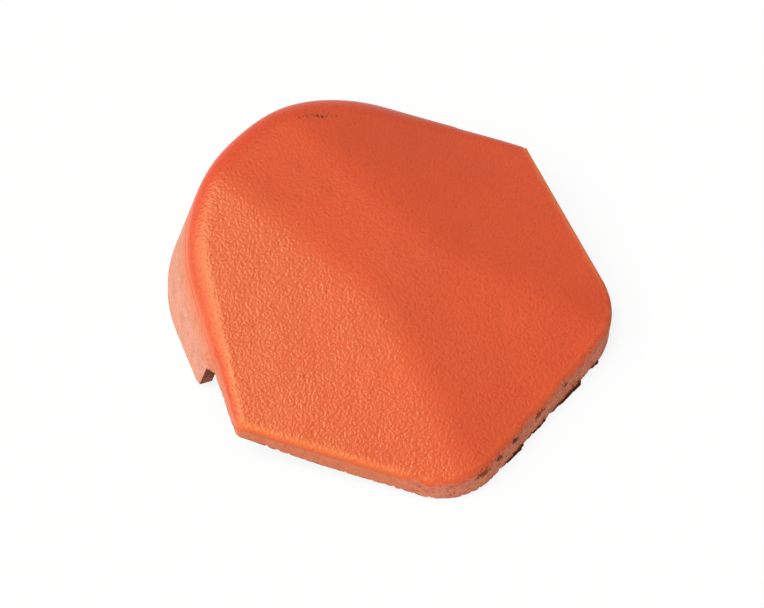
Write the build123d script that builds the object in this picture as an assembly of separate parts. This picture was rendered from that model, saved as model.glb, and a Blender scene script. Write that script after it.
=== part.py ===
from build123d import *
from math import asin, atan2, cos, degrees, radians, sin, sqrt, tan
import os

os.makedirs("parts", exist_ok=True)

# Driving dimensions, mm and degrees, taken square to the plane of the side lips.
# Levels are heights above that plane.
cap_width = 420.0          # across the two shoulder corners, measured on the rim
front_width = 244.0        # across the two front corners before they are rounded
shoulder_to_front = 190.0  # shoulder corners to front rim
nose_reach = 202.0         # shoulder corners to the tip of the nose
flank_angle = 31.4         # flank between shoulder and nose, off the centre line
nose_side_share = 0.92     # plan curve beside the nose, as a share of one plain round nose
nose_front_share = 1.52    # flatter plan curve across the tip, as a share of the same
corner_radius = 65.0       # plan rounding of the two front corners
shoulder_level = 25.0      # rim at the shoulder corners
corner_level = 26.0        # rim at the two front corners
front_level = 29.5         # rim along the straight of the front
crown_height = 34.5        # flat strip above the shoulder rim
side_fall = 11.5           # slope of the side facets, across
ridge_slope = 4.6          # rise of the flat strip toward the nose
kink_offset = -20.0        # where the strip breaks into the front facet
skirt_drop = 35.0          # how far the nose skirt hangs below the lips, at its ends
notch_reach = 65.5         # shoulder corners to the ends of the nose skirt
lip_draft = 3.3            # lean of the lips
skirt_draft = 11.6         # lean of the nose skirt
wall = 12.0                # thickness of walls and crown
fold_softness = 4.0        # how far the folds on the crown are eased
nose_rim_radius = 17.5     # rounding of the top edge round the nose
flank_rim_radius = 11.0    # rounding of the top edge from the skirt to the shoulders
side_rim_radius = 5.0      # rounding of the top edge along the sides and front
bearing = 6.0              # width of the flat worn on the front lip where it rests

reach = 450.0
below = 80.0
half = cap_width / 2
front_half = front_width / 2
fall = tan(radians(side_fall))
along = ((half - front_half) * fall + shoulder_level - corner_level) / shoulder_to_front
rise = tan(radians(ridge_slope))
top = shoulder_level + crown_height
kink_top = top + kink_offset * rise
front_rise = (kink_top - front_level) / (shoulder_to_front + kink_offset)


def outline(draft, inset):
    """Plan outline at the foot of a drafted block, moved inward by the inset."""
    turn = radians(flank_angle)
    climb = fall * sin(turn) + along * cos(turn)
    a = turn - asin(climb * tan(radians(draft)))
    n = (cos(a), sin(a))
    plain = (n[0] * half - n[1] * nose_reach) / (1 - n[1])
    side_radius = nose_side_share * plain
    front_radius = nose_front_share * plain
    foot = n[0] * half - side_radius
    tip = nose_reach - front_radius
    b = n[0] * tip
    c = tip * tip - 2 * foot * n[1] * tip + foot * foot - (front_radius - side_radius) ** 2
    run = b + sqrt(b * b - c)
    side = (n[0] * foot - n[1] * run, n[1] * foot + n[0] * run)
    start = (side[0] + n[0] * side_radius, side[1] + n[1] * side_radius)
    span = sqrt(side[0] ** 2 + (side[1] - tip) ** 2)
    u = (side[0] / span, (side[1] - tip) / span)
    join = (u[0] * front_radius, tip + u[1] * front_radius)
    m = (n[0] + u[0], n[1] + u[1])
    size = sqrt(m[0] ** 2 + m[1] ** 2)
    mid = (side[0] + m[0] / size * side_radius, side[1] + m[1] / size * side_radius)
    grow = (shoulder_level + below) * tan(radians(draft)) - inset
    with BuildSketch() as plan:
        with BuildLine():
            Polyline(
                (-start[0], start[1]),
                (-half, 0),
                (-front_half, -shoulder_to_front),
                (front_half, -shoulder_to_front),
                (half, 0),
                start,
            )
            ThreePointArc(start, mid, join)
            ThreePointArc(join, (0, nose_reach), (-join[0], join[1]))
            ThreePointArc((-join[0], join[1]), (-mid[0], mid[1]), (-start[0], start[1]))
        make_face()
        front = plan.vertices().sort_by(Axis.Y)[:2]
        fillet(front, corner_radius)
        offset(amount=grow, kind=Kind.INTERSECTION)
    return plan.sketch


def blend(a, b, soft):
    """The lower of two heights, with the fold between them softened."""
    t = max(soft - abs(a - b), 0.0) / soft
    return min(a, b) - t * t * soft / 4


def crown(x, y):
    """Height of the folded crown: flat strip, front facet and the two side facets."""
    strip = top + y * rise
    front = kink_top + (y - kink_offset) * front_rise
    side = shoulder_level + (half - abs(x)) * fall + y * along
    return blend(blend(strip, front, fold_softness / 2), side, fold_softness)


def roof(drop):
    """Everything under the crown, lowered by the given thickness."""
    steps = 36
    wide = half + 60
    long = nose_reach + 60
    grid = [
        [
            Vector(x, y, crown(x, y) - drop)
            for y in [-long + 2 * long * j / steps for j in range(steps + 1)]
        ]
        for x in [-wide + 2 * wide * i / steps for i in range(steps + 1)]
    ]
    skin = Face.make_surface_from_array_of_points(grid, tol=0.1, min_deg=3, max_deg=3)
    return Solid.extrude(skin, Vector(0, 0, -reach))


def body(draft, inset, drop):
    """Drafted plan block cut to the crown."""
    block = extrude(Pos(0, 0, -below) * outline(draft, inset), 260.0, taper=draft)
    return block & roof(drop)


def rim_edges(form, low, high):
    """Edges of the top rim whose middle lies between two distances along Y."""
    walls = [f for f in form.faces() if abs(f.normal_at(f.center()).Z) < 0.4]
    edges = [e for f in walls for e in f.edges() if low < e.center().Y < high]
    return [e for e in edges if e.center().Z > 10 and abs(e.tangent_at(0.5).Z) < 0.6]


ahead = Pos(0, notch_reach + reach / 2, 0) * Box(reach, reach, reach)

# The nose, with its flared skirt.
nose = body(skirt_draft, 0.0, 0.0)
nose = fillet(rim_edges(nose, 0.0, reach), nose_rim_radius)
nose = (nose & ahead) - body(skirt_draft, wall, wall)

# The lips, nearly upright, all cut off at one level.
lips = body(lip_draft, 0.0, 0.0)
lips = fillet(rim_edges(lips, 0.0, reach), flank_rim_radius)
lips = fillet(rim_edges(lips, -reach, -20.0), side_rim_radius)
lips = (lips - ahead) - body(lip_draft, wall, wall)
lips = lips - Pos(0, 0, -reach / 2) * Box(reach, reach, reach)

cap = nose + lips

# Stand the cap on its skirt and front lip, then trim both where they bear.
front_foot = -shoulder_to_front - shoulder_level * tan(radians(lip_draft))
lean = degrees(atan2(skirt_drop, notch_reach - front_foot))
cap = Rot(lean, 0, 0) * Pos(0, -front_foot, 0) * cap
floor = bearing * tan(radians(lean))
cap = cap - Pos(0, 0, floor - reach / 2) * Box(2 * reach, 4 * reach, reach)

size = cap.bounding_box()
cap = Pos(-size.center().X, -size.center().Y, -size.min.Z) * cap
export_step(cap, "parts/ridge_cap.step")
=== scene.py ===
import math
import bpy
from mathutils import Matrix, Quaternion, Vector, noise
from mathutils.geometry import delaunay_2d_cdt


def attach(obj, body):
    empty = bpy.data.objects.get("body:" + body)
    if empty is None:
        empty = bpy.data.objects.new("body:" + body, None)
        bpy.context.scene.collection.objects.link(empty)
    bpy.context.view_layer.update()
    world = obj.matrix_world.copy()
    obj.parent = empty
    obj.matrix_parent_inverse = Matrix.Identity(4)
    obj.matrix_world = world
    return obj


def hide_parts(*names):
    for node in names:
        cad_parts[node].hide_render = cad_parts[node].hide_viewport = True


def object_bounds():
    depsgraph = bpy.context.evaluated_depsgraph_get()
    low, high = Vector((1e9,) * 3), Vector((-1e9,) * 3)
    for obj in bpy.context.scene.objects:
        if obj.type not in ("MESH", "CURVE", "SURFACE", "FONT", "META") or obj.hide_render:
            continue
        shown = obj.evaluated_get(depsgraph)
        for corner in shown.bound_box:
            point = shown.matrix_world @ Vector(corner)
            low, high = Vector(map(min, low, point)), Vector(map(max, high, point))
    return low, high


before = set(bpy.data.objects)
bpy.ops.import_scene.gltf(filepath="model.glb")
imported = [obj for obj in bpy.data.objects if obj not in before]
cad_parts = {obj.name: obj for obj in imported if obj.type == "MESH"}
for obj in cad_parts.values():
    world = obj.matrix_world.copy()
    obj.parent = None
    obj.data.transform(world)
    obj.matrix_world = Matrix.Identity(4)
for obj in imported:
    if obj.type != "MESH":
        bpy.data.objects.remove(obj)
cad_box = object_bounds()

# The cap's driving sizes, mm and degrees, taken square to the plane of the side lips.
# Levels are heights above that plane.
cap_width = 420.0          # across the two shoulder corners, measured on the rim
front_width = 244.0        # across the two front corners before they are rounded
shoulder_to_front = 190.0  # shoulder corners to front rim
nose_reach = 202.0         # shoulder corners to the tip of the nose
flank_angle = 31.4         # flank between shoulder and nose, off the centre line
nose_side_share = 0.92     # plan curve beside the nose, as a share of one plain round nose
nose_front_share = 1.52    # flatter plan curve across the tip, as a share of the same
shoulder_level = 25.0      # rim at the shoulder corners
corner_level = 26.0        # rim at the two front corners
front_level = 29.5         # rim along the straight of the front
crown_height = 34.5        # flat strip above the shoulder rim
side_fall = 11.5           # slope of the side facets, across
ridge_slope = 4.6          # rise of the flat strip toward the nose
kink_offset = -20.0        # where the strip breaks into the front facet
skirt_drop = 35.0          # how far the nose skirt hangs below the lips, at its ends
notch_reach = 65.5         # shoulder corners to the ends of the nose skirt
lip_draft = 3.3            # lean of the lips
skirt_draft = 11.6         # lean of the nose skirt
wall = 12.0                # thickness of walls and crown
fold_softness = 3.0        # how far the folds on the crown are eased
bearing = 6.0              # width of the flat worn on the front lip where it rests

# What this one casting adds to the plain form, mm and degrees.
corner_radii = {1: 68.0, -1: 64.0}  # plan rounding of the front corners, by side
shoulder_round = 7.0                # plan rounding of the shoulder corners
front_flare = 12.2                  # lean of the front lip
corner_lift = 5.8                   # lips worn up at the shoulder corners
skew_front = -1.6                   # sideways drift of the front
skew_nose = -0.9                    # sideways drift of the nose
step_run = 9.0                      # length over which the lips run out to the skirt
tip_run = 9.0                       # length of the skirt's broken tips at the notches
tip_loss = 4.5                      # how far those tips are broken off
floor_gap = 0.3                     # least gap between the lips' unbroken edge and the floor
front_zone = -170.0                 # flash and broken patches lie only in front of this
flank_paint = 5.0                   # how much lower the paint reaches on the flanks
skirt_paint = 3.0                   # how much lower the paint reaches on the skirt
rim_drop = 0.9                      # height of the rounded rim, as a share of its width
rim_weight = 0.8                    # how full the curve of the rounded rim is

# Flakes of flash under the front lip, painted near black as the shade under them: from, to, how far
# they stand out, how thick.
flakes = [
    (66.0, 80.0, 1.8, 3.5),
    (7.0, 52.0, 3.4, 8.0),
    (-30.0, -2.0, 1.6, 4.5),
    (-66.0, -36.0, 2.8, 7.0),
]
# Broken patches along the paint's edge at the front: middle and half length.
scars = [(28.0, 6.0), (-11.0, 12.0), (-48.0, 7.0), (-71.0, 7.0), (-92.0, 13.0)]
# The long pitted patch beside the tip of the nose.
patch_middle = (64.0, 156.0)
patch_direction = (0.84, -0.54)
patch_half_size = (36.0, 9.0)

# How marked the surface is, from 0 for sound to 2, kept in a point attribute; along the lips' lower
# edge and on the flash the marks are painted shade.
slight_mark = 0.45  # along the paint's edge at the front, and beside the notches
patch_mark = 0.85
edge_shade_mark = 0.9     # the broken lower edge of the lips, painted darker as shade where they meet the floor
scar_mark = 1.3
# Flash is painted near black, as the shade under its flakes.
flash_shade_mark = 2.0

# The attribute "down" keeps the depth below the rounded rim, mm. These stand in for it
# where a point isn't on the outer wall.
crown_depth = -9.0
hidden_depth = 90.0

# Rows of faces down a slice: round the rim, down to the level of the lips' edge, down
# the skirt below it, across the lower edge, and up each of two runs inside.
rounding, above, under, across, inside = 10, 18, 12, 5, 5
# Spacing of the slices along the plan and of the points on the crown and ceiling, mm.
front_step, side_step, shoulder_step, flank_step = 1.7, 1.9, 1.2, 1.8
skirt_step, nose_step = 2.2, 2.4
crown_spacing, ceiling_spacing = 3.4, 14.0
crease_angle = 50.0  # edges that turn by more than this are sharp, degrees
passes = 30          # repeats after which the searches by substitution have settled
# Slots of the two materials on the mesh.
painted, bare = 0, 1

half = cap_width / 2
front_half = front_width / 2
fall = math.tan(math.radians(side_fall))
along = ((half - front_half) * fall + shoulder_level - corner_level) / shoulder_to_front
rise = math.tan(math.radians(ridge_slope))
top = shoulder_level + crown_height
kink_top = top + kink_offset * rise
front_rise = (kink_top - front_level) / (shoulder_to_front + kink_offset)
out_front, out_lip, out_skirt = (
    math.tan(math.radians(angle)) for angle in (front_flare, lip_draft, skirt_draft)
)

# How the cap lies: leaned back onto its skirt and front lip.
front_foot = -shoulder_to_front - shoulder_level * out_lip
lean = math.atan2(skirt_drop, notch_reach - front_foot)
floor_level = bearing * math.tan(lean)


def ground(y):
    """Level of the floor below a point, in the cap's own plane."""
    return (floor_level - (y - front_foot) * math.sin(lean)) / math.cos(lean)


def nose_foot():
    """How far the foot of the nose lies from the front foot, along the floor."""
    y = nose_reach
    for _ in range(passes):
        y = nose_reach - out_skirt * (ground(y) - shoulder_level)
    return (y - front_foot) * math.cos(lean) - ground(y) * math.sin(lean)


# Distance from the front foot to the frame's origin, along the floor.
mid_length = nose_foot() - cad_box[1][1] * 1000


def rest(x, y, z):
    """A point of the cap's own plane, mm, as it lies, in metres."""
    x += skew_front * max(-y, 0.0) / shoulder_to_front + skew_nose * max(y, 0.0) / nose_reach
    u = y - front_foot
    return Vector((
        x / 1000,
        (u * math.cos(lean) - z * math.sin(lean) - mid_length) / 1000,
        (u * math.sin(lean) + z * math.cos(lean) - floor_level) / 1000,
    ))


def grain(x, y, z, size, seed):
    """Smooth noise, -1 to 1, with features of the given size."""
    return noise.noise(Vector((x / size + seed, y / size, z / size)))


def ease(x, x0, x1):
    """A smooth step from 0 at x0 to 1 at x1."""
    t = min(max((x - x0) / (x1 - x0), 0.0), 1.0)
    return t * t * (3 - 2 * t)


def bell(x, width):
    """A smooth hump, 1 at 0 and nearly gone at twice the width."""
    return math.exp(-(x / width) ** 2)


def mix(a, b, w):
    """The value a share w of the way from a to b."""
    return a + (b - a) * w


def blend(a, b, soft):
    """The lower of two heights, with the fold between them softened."""
    t = max(soft - abs(a - b), 0.0) / soft
    return min(a, b) - t * t * soft / 4


def crown(x, y):
    """Height of the folded crown, with the slight waves of a hand-finished casting."""
    strip = top + y * rise
    front = kink_top + (y - kink_offset) * front_rise
    side = shoulder_level + (half - abs(x)) * fall + y * along
    waves = 0.35 * grain(x, y, 0, 42.0, 2.0) + 0.12 * grain(x, y, 0, 13.0, 6.0)
    return blend(blend(strip, front, fold_softness / 2), side, fold_softness) + waves


class Column:
    """One upright slice of the wall: a plan point at shoulder level, its outward
    normal, how fast the wall leans out going down, and whether it is skirt or lip."""

    def __init__(self, x, y, nx, ny, lean_out, skirt=False):
        self.x, self.y, self.nx, self.ny = x, y, nx, ny
        self.lean_out, self.skirt = lean_out, skirt

    def at(self, z, inward=0.0):
        """Plan point of the wall at a height."""
        d = self.lean_out * (z - shoulder_level) + inward
        return self.x - self.nx * d, self.y - self.ny * d

    def mirrored(self):
        return Column(-self.x, self.y, -self.nx, self.ny, self.lean_out, self.skirt)


def arc(cx, cy, r, a0, a1, step, leans, skirt=False):
    """Columns along an arc after its first point, leaning from one value to another."""
    n = max(2, math.ceil(abs(a1 - a0) * r / step))
    out = []
    for i in range(1, n + 1):
        a = mix(a0, a1, i / n)
        nx, ny = math.cos(a), math.sin(a)
        out.append(Column(cx + r * nx, cy + r * ny, nx, ny, mix(*leans, i / n), skirt))
    return out


def straight(x0, y0, x1, y1, nx, ny, step, lean_out, skirt=False):
    """Columns along a straight run after its first point."""
    n = max(1, math.ceil(math.hypot(x1 - x0, y1 - y0) / step))
    return [
        Column(mix(x0, x1, i / n), mix(y0, y1, i / n), nx, ny, lean_out, skirt)
        for i in range(1, n + 1)
    ]


def flank(draft):
    """Direction of the flank's normal at one level, for a wall of this draft."""
    turn = math.radians(flank_angle)
    climb = fall * math.sin(turn) + along * math.cos(turn)
    a = turn - math.asin(climb * math.tan(math.radians(draft)))
    return a, math.cos(a), math.sin(a)


def lip_columns(corner_radius):
    """Right half of the lips, from the middle of the front to the notch."""
    size = math.hypot(half - front_half, shoulder_to_front)
    sx, sy = (half - front_half) / size, shoulder_to_front / size
    turn = math.acos(sx)
    quarter = math.pi / 2

    # The front and its rounded corner.
    ax, ay = front_half - corner_radius * math.tan(turn / 2), -shoulder_to_front
    out = [Column(0.0, ay, 0.0, -1.0, out_front)]
    out += straight(0, ay, ax, ay, 0.0, -1.0, front_step, out_front)
    out += arc(ax, ay + corner_radius, corner_radius, -quarter, turn - quarter,
               front_step, (out_front, out_lip))

    # The side and its shoulder.
    a, n0, n1 = flank(lip_draft)
    side = math.atan2(-sx, sy)
    cut = shoulder_round * math.tan((a - side) / 2)
    bx, by = half - sx * cut, -sy * cut
    out += straight(out[-1].x, out[-1].y, bx, by, sy, -sx, side_step, out_lip)
    out += arc(bx - sy * shoulder_round, by + sx * shoulder_round, shoulder_round, side, a,
               shoulder_step, (out_lip, out_lip))

    # The flank, running out to the skirt over its last stretch.
    x0, y0 = out[-1].x, out[-1].y
    reach = (notch_reach - step_run - y0) / n0
    out += straight(x0, y0, x0 - n1 * reach, y0 + n0 * reach, n0, n1, flank_step, out_lip)
    _, m0, m1 = flank(skirt_draft)
    steps = 9
    for i in range(1, steps + 1):
        y = notch_reach - step_run + step_run * i / steps
        w = ease(y, notch_reach - step_run, notch_reach)
        x = mix(x0 - n1 * (y - y0) / n0, half - m1 * y / m0, w)
        out.append(Column(x, y, mix(n0, m0, w), mix(n1, m1, w), mix(out_lip, out_skirt, w)))
    return out


def skirt_columns():
    """Right half of the skirt, from the notch to the tip of the nose."""
    a, n0, n1 = flank(skirt_draft)
    plain = (n0 * half - n1 * nose_reach) / (1 - n1)
    r1, r2 = nose_side_share * plain, nose_front_share * plain
    foot, tip = n0 * half - r1, nose_reach - r2
    b = n0 * tip
    go = b + math.sqrt(b * b - (tip * tip - 2 * foot * n1 * tip + foot * foot - (r2 - r1) ** 2))
    cx, cy = n0 * foot - n1 * go, n1 * foot + n0 * go
    join = math.atan2(cy - tip, cx)
    x0, y0 = half - n1 * notch_reach / n0, notch_reach
    leans = (out_skirt, out_skirt)
    out = [Column(x0, y0, n0, n1, out_skirt, True)]
    out += straight(x0, y0, cx + n0 * r1, cy + n1 * r1, n0, n1, skirt_step, out_skirt, True)
    out += arc(cx, cy, r1, a, join, nose_step, leans, True)
    out += arc(0.0, tip, r2, join, math.pi / 2, nose_step, leans, True)
    return out


def rim_round(y):
    """How far in the rounding of the top edge reaches: along the sides and front, and
    from the shoulders to the nose."""
    if y < -3:
        return 4.0 + 3.0 * ease(-y, 150, shoulder_to_front)
    return 8.9 + 9.1 * ease(y, 0, 150)


def ragged(c):
    """How far the lower edge is broken away, by place."""
    rough = 0.5 + 0.5 * grain(c.x, c.y, 0, 9.0, 3.1)
    fine = 0.5 + 0.5 * grain(c.x, c.y, 0, 3.2, 7.7)
    if c.skirt:
        tip = 1 - ease(c.y, notch_reach, notch_reach + tip_run)
        return 1.4 * rough * fine + tip_loss * tip
    lift = corner_lift * max(0.0, 1 - abs(c.y) / notch_reach)
    nick = 6.0 * max(0.0, grain(c.x, c.y, 0, 2.7, 12.4) - 0.15)
    before_notch = 1 - ease(c.y, notch_reach - 6, notch_reach)
    return (1.5 * rough + 0.8 * fine + nick) * before_notch + lift


def flake(c, height):
    """How far flash stands out from the wall at a height above the lower edge, and
    how dark it is there, painted shade under the flakes."""
    push, dark = 0.0, 0.0
    if c.y > front_zone:
        return push, dark
    for low, high, out, thick in flakes:
        if low < c.x < high:
            # Steep at the end toward +X, and tapering out toward -X.
            u = (high - c.x) / (high - low)
            shape = min(1.0, u * 14) * (1 - u) ** 0.5
            if height < thick * shape * (0.8 + 0.5 * grain(c.x, 0, 0, 4.0, 9.0)):
                push = max(push, out * shape)
                # Flash is painted dark, as the shade under its flakes.
                dark = flash_shade_mark
    return push, dark


def worn(x, y):
    """How pitted the crown is at a point."""
    u, v = x - patch_middle[0], y - patch_middle[1]
    dx, dy = patch_direction
    long, wide = patch_half_size
    return patch_mark * math.exp(-((dx * u + dy * v) / long) ** 2 - ((dx * v - dy * u) / wide) ** 2)


def scar(c, depth):
    """How broken the surface is at a depth below the rounded rim."""
    if c.skirt:
        return slight_mark * bell(c.y - notch_reach, 22) * ease(depth, 4, 16)
    if c.y > front_zone:
        return 0.0
    broken = max(scar_mark * bell(c.x - x, w) for x, w in scars)
    return max(broken, slight_mark) * bell(depth - 1.0, 5.0)


verts, faces, mats, down, stain_and_shade = [], [], [], [], []
known = {}


def put(x, y, z, depth=hidden_depth, mark=0.0):
    """Index of the vertex at a point, shared where columns meet."""
    key = (round(x, 4), round(y, 4), round(z, 4))
    if key not in known:
        known[key] = len(verts)
        verts.append(rest(x, y, z))
        down.append(depth)
        stain_and_shade.append(mark)
    return known[key]


def face(ids, mat):
    """Add a face, unless too few of its corners differ."""
    ids = [v for i, v in enumerate(ids) if v != ids[i - 1]]
    if len(set(ids)) > 2:
        faces.append(tuple(ids))
        mats.append(mat)


def meet(c, z, inward=0.0):
    """Height at which the wall meets the crown, or inside the ceiling, from a guess."""
    for _ in range(passes):
        z = crown(*c.at(z, inward)) - inward
    return z


def between(a, b, steps):
    """Even steps from a to b, without a itself."""
    return [mix(a, b, i / steps) for i in range(1, steps + 1)]


def slice_points(c):
    """The column's points, from the crown over the rim, down, under and up inside."""
    at_skirt = c.y > notch_reach - 0.01
    z = meet(c, shoulder_level)
    rx, ry = c.at(z)
    r = rim_round(c.y)
    rim_foot = z - rim_drop * r
    ix, iy = rx - c.nx * r, ry - c.ny * r
    ox, oy = c.at(rim_foot)
    low, floor_here = ragged(c), ground(c.at(0)[1])
    if c.skirt:
        base = floor_here + low
    else:
        base = 0.0 if at_skirt else max(low, floor_here + floor_gap + low)
    level = 0.0 if c.skirt else base
    # The paint reaches lower on the flanks and the skirt than on the sides and front.
    shift = -skirt_paint if c.skirt else -flank_paint * ease(c.y, 0, 12)

    points = []
    for i in range(rounding + 1):
        s = i / rounding
        a0, a1, a2 = (1 - s) ** 2, 2 * rim_weight * s * (1 - s), s * s
        q = a0 + a1 + a2
        depth = (s - 1) * (rim_drop * r)
        points.append((
            (a0 * ix + a1 * rx + a2 * ox) / q,
            (a0 * iy + a1 * ry + a2 * oy) / q,
            (a0 * crown(ix, iy) + a1 * z + a2 * rim_foot) / q,
            depth + shift,
            max(scar(c, depth), worn(rx, ry) * (1 - s)),
        ))
    for i, pz in enumerate(between(rim_foot, level, above) + between(level, base, under)):
        px, py = c.at(pz)
        push, dark = flake(c, pz - base)
        out = 0.45 * grain(px, py, pz, 24.0, 1.3) * min(1.0, i / 4) + push
        depth = rim_foot - pz
        # The lips' broken lower edge is painted dark, as shade where it meets the floor.
        if not c.skirt:
            dark = max(dark, edge_shade_mark * (1 - ease(pz - base, 0.5, 4.5)))
        points.append((px + c.nx * out, py + c.ny * out, pz, depth + shift,
                       max(dark, scar(c, depth))))

    for i in range(1, across + 1):
        px, py = c.at(base, wall * i / across)
        rough = i < across and not at_skirt
        points.append((px, py, base + (0.5 * abs(grain(px, py, 0, 4.0, 5.0)) if rough else 0.0)))
    ceiling = meet(c, z - wall, wall)
    for pz in between(base, level, inside) + between(level, ceiling, inside):
        points.append(c.at(pz, wall) + (pz,))
    return points


def fill(ring, spacing, height, mat, flip):
    """Close a ring of vertices with an even mesh that follows a height function."""
    n = len(ring)
    points = [Vector(p[:2]) for p, _ in ring]
    limits = [(points[i], points[(i + 1) % n]) for i in range(n)]
    margin, row_height = 0.7 * spacing, 0.87 * spacing
    y, row = -shoulder_to_front, 0
    while y < nose_reach:
        cuts = sorted(p[0] + (q[0] - p[0]) * (y - p[1]) / (q[1] - p[1])
                      for p, q in limits if (p[1] <= y) != (q[1] <= y))
        if len(cuts) >= 2:
            x = math.ceil((cuts[0] + margin) / spacing) * spacing + (row % 2) * spacing / 2
            while x < cuts[-1] - margin:
                points.append(Vector((x, y)))
                x += spacing
        y += row_height
        row += 1
    edges = [(i, (i + 1) % n) for i in range(n)]
    # Output type 1 is only the triangles inside the ring.
    out, _, tris, source, _, _ = delaunay_2d_cdt(points, edges, [], 1, 1e-5)
    depth = crown_depth if mat == painted else hidden_depth
    index = []
    for p, src in zip(out, source):
        old = [i for i in src if i < n]
        if old:
            index.append(ring[old[0]][1])
        else:
            index.append(put(p.x, p.y, height(p.x, p.y), depth, worn(p.x, p.y)))
    for tri in tris:
        ids = [index[i] for i in tri]
        face(ids[::-1] if flip else ids, mat)


right, left = (lip_columns(corner_radii[s]) + skirt_columns() for s in (1, -1))
loop = right + [c.mirrored() for c in reversed(left[1:-1])]
slices = [slice_points(c) for c in loop]
columns = [[put(*p) for p in points] for points in slices]
outside = rounding + above + under
for k, a in enumerate(columns):
    nxt = (k + 1) % len(columns)
    b = columns[nxt]
    at_notch = loop[k].skirt != loop[nxt].skirt
    for i in range(len(a) - 1):
        outer = i < outside and not (at_notch and i >= rounding + above)
        face([a[i], a[i + 1], b[i + 1], b[i]], painted if outer else bare)
fill([(p[0], c[0]) for p, c in zip(slices, columns)], crown_spacing, crown, painted, False)
fill([(p[-1], c[-1]) for p, c in zip(slices, columns)], ceiling_spacing,
     lambda x, y: crown(x, y) - wall, bare, True)

mesh = bpy.data.meshes.new("cap_skin")
mesh.from_pydata(verts, [], faces)
cap = bpy.data.objects.new("cap_skin", mesh)
bpy.context.scene.collection.objects.link(cap)
for name, values in (("down", down), ("stain_and_shade", stain_and_shade)):
    mesh.attributes.new(name, "FLOAT", "POINT").data.foreach_set("value", values)
mesh.polygons.foreach_set("material_index", mats)
mesh.polygons.foreach_set("use_smooth", [True] * len(mats))
mesh.set_sharp_from_angle(angle=math.radians(crease_angle))
mesh.update()


def srgb(r, g, b):
    """A colour written in 0 to 255, as Blender's linear values."""
    def lin(v):
        v /= 255
        return v / 12.92 if v <= 0.04045 else ((v + 0.055) / 1.055) ** 2.4
    return lin(r), lin(g), lin(b)


class Graph:
    """A material's nodes, with short names for the kinds used here."""

    def __init__(self, name):
        self.material = bpy.data.materials.new(name)
        self.material.use_nodes = True
        tree = self.material.node_tree
        self.nodes, self.links = tree.nodes, tree.links
        self.nodes.clear()
        self.out = self.nodes.new("ShaderNodeOutputMaterial")
        self.shader = self.nodes.new("ShaderNodeBsdfPrincipled")
        self.links.new(self.shader.outputs[0], self.out.inputs[0])
        self.coords = self.nodes.new("ShaderNodeTexCoord").outputs["Object"]

    def feed(self, socket, value):
        """Give a socket a colour, a number or another node's output."""
        if isinstance(value, tuple):
            socket.default_value = value + (1.0,)
        elif isinstance(value, (int, float)):
            socket.default_value = value
        else:
            self.links.new(value, socket)

    def surface(self, **values):
        """Feed the shader's sockets, named with _ for each space."""
        for key, value in values.items():
            self.feed(self.shader.inputs[key.replace("_", " ")], value)

    def attribute(self, name):
        node = self.nodes.new("ShaderNodeAttribute")
        node.attribute_name = name
        return node.outputs["Fac"]

    def noise(self, scale, detail, rough=0.5):
        node = self.nodes.new("ShaderNodeTexNoise")
        self.feed(node.inputs["Scale"], scale)
        self.feed(node.inputs["Detail"], detail)
        self.feed(node.inputs["Roughness"], rough)
        self.feed(node.inputs["Vector"], self.coords)
        return node.outputs["Fac"]

    def cells(self, scale):
        node = self.nodes.new("ShaderNodeTexVoronoi")
        self.feed(node.inputs["Scale"], scale)
        self.feed(node.inputs["Vector"], self.coords)
        return node.outputs["Distance"], node.outputs["Color"]

    def along_y(self):
        node = self.nodes.new("ShaderNodeSeparateXYZ")
        self.links.new(self.coords, node.inputs[0])
        return node.outputs["Y"]

    def remap(self, value, a, b, c=0.0, d=1.0):
        """A smooth step of the value, from c at a to d at b."""
        node = self.nodes.new("ShaderNodeMapRange")
        node.interpolation_type = "SMOOTHSTEP"
        sockets = (("From Min", a), ("From Max", b), ("To Min", c), ("To Max", d))
        for key, v in sockets + (("Value", value),):
            self.feed(node.inputs[key], v)
        return node.outputs[0]

    def math(self, op, a, b):
        node = self.nodes.new("ShaderNodeMath")
        node.operation = op
        self.feed(node.inputs[0], a)
        self.feed(node.inputs[1], b)
        return node.outputs[0]

    def mix(self, fac, a, b):
        """Two colours mixed. Sockets 6, 7 and 2 are the Mix node's own for colour."""
        node = self.nodes.new("ShaderNodeMix")
        node.data_type = "RGBA"
        for socket, value in ((0, fac), (6, a), (7, b)):
            self.feed(node.inputs[socket], value)
        return node.outputs[2]

    def bump(self, height, distance):
        node = self.nodes.new("ShaderNodeBump")
        node.inputs["Distance"].default_value = distance
        self.feed(node.inputs["Height"], height)
        return node.outputs[0]


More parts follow.
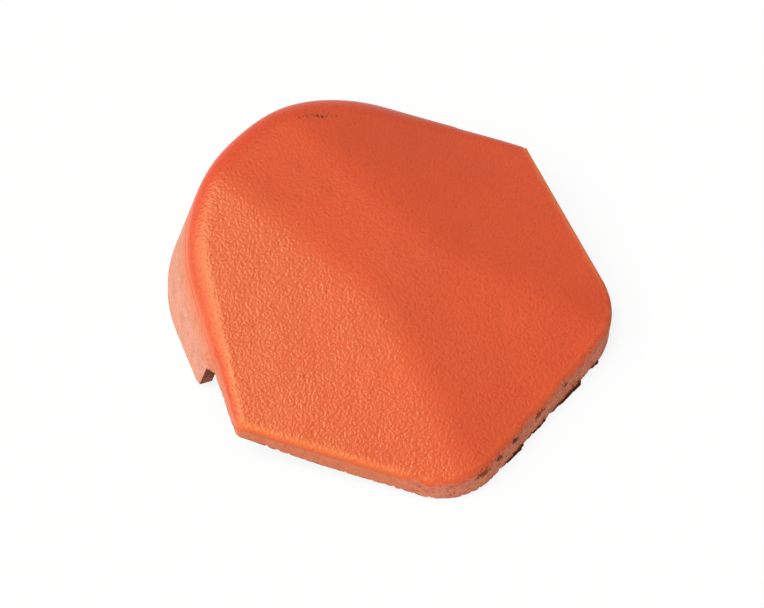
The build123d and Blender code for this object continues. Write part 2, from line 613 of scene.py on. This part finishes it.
def painted_concrete():
    """Orange-red paint on top, thin overspray over bare concrete on the walls."""
    g = Graph("painted_concrete")
    depth, marks = g.attribute("down"), g.attribute("stain_and_shade")
    grit, crumbs = g.noise(400.0, 2.0), g.noise(330.0, 4.0, 0.65)
    mottle, cloud = g.noise(95.0, 4.0, 0.6), g.noise(9.0, 2.0)
    front, side = g.remap(g.along_y(), -0.14, -0.185), g.remap(g.along_y(), -0.01, -0.03)

    def by_place(elsewhere, at_front):
        """A number that is different along the front lip."""
        return g.remap(front, 0.0, 1.0, elsewhere, at_front)

    # The paint, with painted shade in the hollows of its grain and a painted highlight, paler,
    # round the rim.
    orange = g.mix(g.remap(cloud, 0.3, 0.7), srgb(198, 48, 22), srgb(206, 54, 26))
    orange = g.mix(g.remap(grit, 0.32, 0.48, 0.5, 0.0), orange, srgb(168, 38, 16))
    rim_highlight = g.math("MULTIPLY", g.remap(depth, -11.0, -2.0), by_place(0.75, 0.4))
    orange = g.mix(rim_highlight, orange, srgb(222, 100, 52))

    # The overspray, duller down the wall, with blotches and painted shade in the hollows of its
    # grain.
    salmon = g.mix(g.remap(depth, 2.0, 38.0), srgb(219, 132, 100), srgb(214, 150, 128))
    salmon = g.mix(side, salmon, srgb(213, 122, 90))
    salmon = g.mix(front, salmon, srgb(220, 134, 106))
    blotches = g.remap(mottle, 0.45, 0.7, 0.0, by_place(0.3, 0.6))
    salmon = g.mix(blotches, salmon, srgb(184, 92, 64))
    grain_hollow_shade = g.remap(grit, 0.32, 0.48, by_place(0.25, 0.6), 0.0)
    salmon = g.mix(grain_hollow_shade, salmon, srgb(150, 74, 50))

    # The edge between the two wanders a little, and most at the front.
    wander = g.math("MULTIPLY", g.math("SUBTRACT", mottle, 0.5), by_place(5.0, 16.0))
    level = g.math("ADD", g.math("ADD", depth, wander), by_place(0.0, 2.5))
    color = g.mix(g.remap(level, -2.0, 3.5), orange, salmon)

    # Broken places show brown concrete, as does the painted shade along the lips' lower edge, and
    # flash is darker still, painted shade under its flakes.
    crumbled = g.math("MULTIPLY", g.math("SUBTRACT", crumbs, 0.5), 3.0)
    dark = g.remap(g.math("ADD", marks, crumbled), 0.75, 1.15)
    brown = g.mix(g.remap(mottle, 0.4, 0.6), srgb(156, 74, 47), srgb(98, 39, 24))
    color = g.mix(dark, color, brown)
    color = g.mix(g.remap(marks, 1.2, 1.9), color, srgb(74, 23, 13))

    # Rare small pits.
    distance, tone = g.cells(62.0)
    rare = g.remap(tone, 0.66, 0.70)
    pit = g.math("MULTIPLY", g.remap(distance, 0.03, 0.12, 0.7, 0.0), rare)
    color = g.mix(g.math("MULTIPLY", pit, 0.7), color, srgb(150, 56, 30))

    # Paint has a warm sheen, while overspray and broken places are matt.
    matt = g.math("MAXIMUM", g.remap(level, -4.0, 2.0), dark)
    grains = g.math("SUBTRACT", grit, g.math("MULTIPLY", g.cells(360.0)[0], 0.5))
    dents = g.math("ADD", pit, g.math("MULTIPLY", dark, 0.35))
    g.surface(
        Base_Color=color,
        Roughness=g.remap(matt, 0.0, 1.0, 0.38, 0.85),
        Specular_IOR_Level=g.remap(matt, 0.0, 1.0, 0.76, 0.1),
        Specular_Tint=(1.0, 1.0, 0.45),
        Normal=g.bump(g.math("SUBTRACT", grains, dents), 0.0005),
    )
    return g.material


def bare_concrete():
    """Bare concrete where the casting is cut or broken, and in the hollow."""
    g = Graph("bare_concrete")
    mottle, dust = g.noise(160.0, 5.0, 0.65), g.noise(34.0, 3.0)
    color = g.mix(g.remap(mottle, 0.35, 0.65), srgb(118, 58, 42), srgb(164, 98, 74))
    color = g.mix(g.remap(dust, 0.45, 0.7, 0.0, 0.6), color, srgb(150, 118, 102))
    g.surface(
        Base_Color=color,
        Roughness=0.92,
        Specular_IOR_Level=0.2,
        Normal=g.bump(g.noise(300.0, 4.0, 0.6), 0.0016),
    )
    return g.material


def pale_floor():
    """Nearly white to the camera and in reflections, pale grey to all other light."""
    g = Graph("pale_floor")
    g.surface(Base_Color=(0.85, 0.85, 0.85), Roughness=0.9)
    rays = g.nodes.new("ShaderNodeLightPath")
    seen = g.math("MAXIMUM", rays.outputs["Is Camera Ray"], rays.outputs["Is Glossy Ray"])
    seen = g.math("MAXIMUM", seen, rays.outputs["Is Transmission Ray"])
    # The part of the lit floor that is left shows the object's shadow.
    both = g.nodes.new("ShaderNodeMixShader")
    g.links.new(g.math("MULTIPLY", seen, 0.86), both.inputs[0])
    g.links.new(g.shader.outputs[0], both.inputs[1])
    g.links.new(g.nodes.new("ShaderNodeEmission").outputs[0], both.inputs[2])
    g.links.new(both.outputs[0], g.out.inputs[0])
    return g.material


mesh.materials.append(painted_concrete())
mesh.materials.append(bare_concrete())
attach(cap, "root")
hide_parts("ridge_cap")

span = 6.0
floor_corners = [(-span, -span, 0), (span, -span, 0), (span, span, 0), (-span, span, 0)]
floor_mesh = bpy.data.meshes.new("floor")
floor_mesh.from_pydata(floor_corners, [], [(0, 1, 2, 3)])
floor_mesh.materials.append(pale_floor())
floor = bpy.data.objects.new("floor", floor_mesh)
bpy.context.scene.collection.objects.link(floor)


def studio_world(ambient):
    """White to the camera and in reflections, an even soft light to everything else."""
    world = bpy.data.worlds.new("studio")
    world.use_nodes = True
    nodes, links = world.node_tree.nodes, world.node_tree.links
    rays = nodes.new("ShaderNodeLightPath")
    seen = nodes.new("ShaderNodeMath")
    seen.operation = "MAXIMUM"
    links.new(rays.outputs["Is Camera Ray"], seen.inputs[0])
    links.new(rays.outputs["Is Glossy Ray"], seen.inputs[1])
    strength = nodes.new("ShaderNodeMapRange")
    strength.inputs["To Min"].default_value = ambient
    strength.inputs["To Max"].default_value = 1.0
    links.new(seen.outputs[0], strength.inputs["Value"])
    links.new(strength.outputs[0], nodes["Background"].inputs["Strength"])
    nodes["Background"].inputs["Color"].default_value = (1.0, 1.0, 1.0, 1.0)
    return world


def sun(name, energy, angle, toward, color=(1.0, 1.0, 1.0)):
    """A sun of a width in degrees, shining from the direction that toward points in."""
    light = bpy.data.lights.new(name, "SUN")
    light.energy = energy
    light.angle = math.radians(angle)
    light.color = color
    lamp = bpy.data.objects.new(name, light)
    lamp.rotation_mode = "QUATERNION"
    lamp.rotation_quaternion = Vector(toward).to_track_quat("Z", "Y")
    bpy.context.scene.collection.objects.link(lamp)


scene = bpy.context.scene
scene.world = studio_world(0.1)
sun("key", 1.8, 22.0, (-0.29, 0.23, 0.93), (1.0, 1.0, 0.98))
sun("left_fill", 0.9, 60.0, (-0.8, 0.05, 0.6))
sun("back", 1.1, 40.0, (-0.55, 0.62, 0.56), (1.0, 0.98, 0.92))
sun("top", 0.35, 40.0, (0.275, -0.105, 0.955))
sun("front_fill", 0.45, 60.0, (-0.2, -0.8, 0.3))

# Camera at the photograph's angle.
azimuth, elevation, roll = math.radians(-49.76), math.radians(56.35), math.radians(-0.14)
distance, target = 1.478, Vector((-0.023, -0.0287, 0.040))
to_camera = Vector((
    math.sin(azimuth) * math.cos(elevation),
    -math.cos(azimuth) * math.cos(elevation),
    math.sin(elevation),
))
camera_data = bpy.data.cameras.new("camera")
camera_data.lens = 74.33
camera_data.sensor_width = 36.0
camera = bpy.data.objects.new("camera", camera_data)
scene.collection.objects.link(camera)
camera.location = target + to_camera * distance
camera.rotation_mode = "QUATERNION"
tilt = Quaternion((0, 0, 1), roll)
camera.rotation_quaternion = (-to_camera).to_track_quat("-Z", "Y") @ tilt
scene.camera = camera

scene.view_settings.view_transform = "Standard"
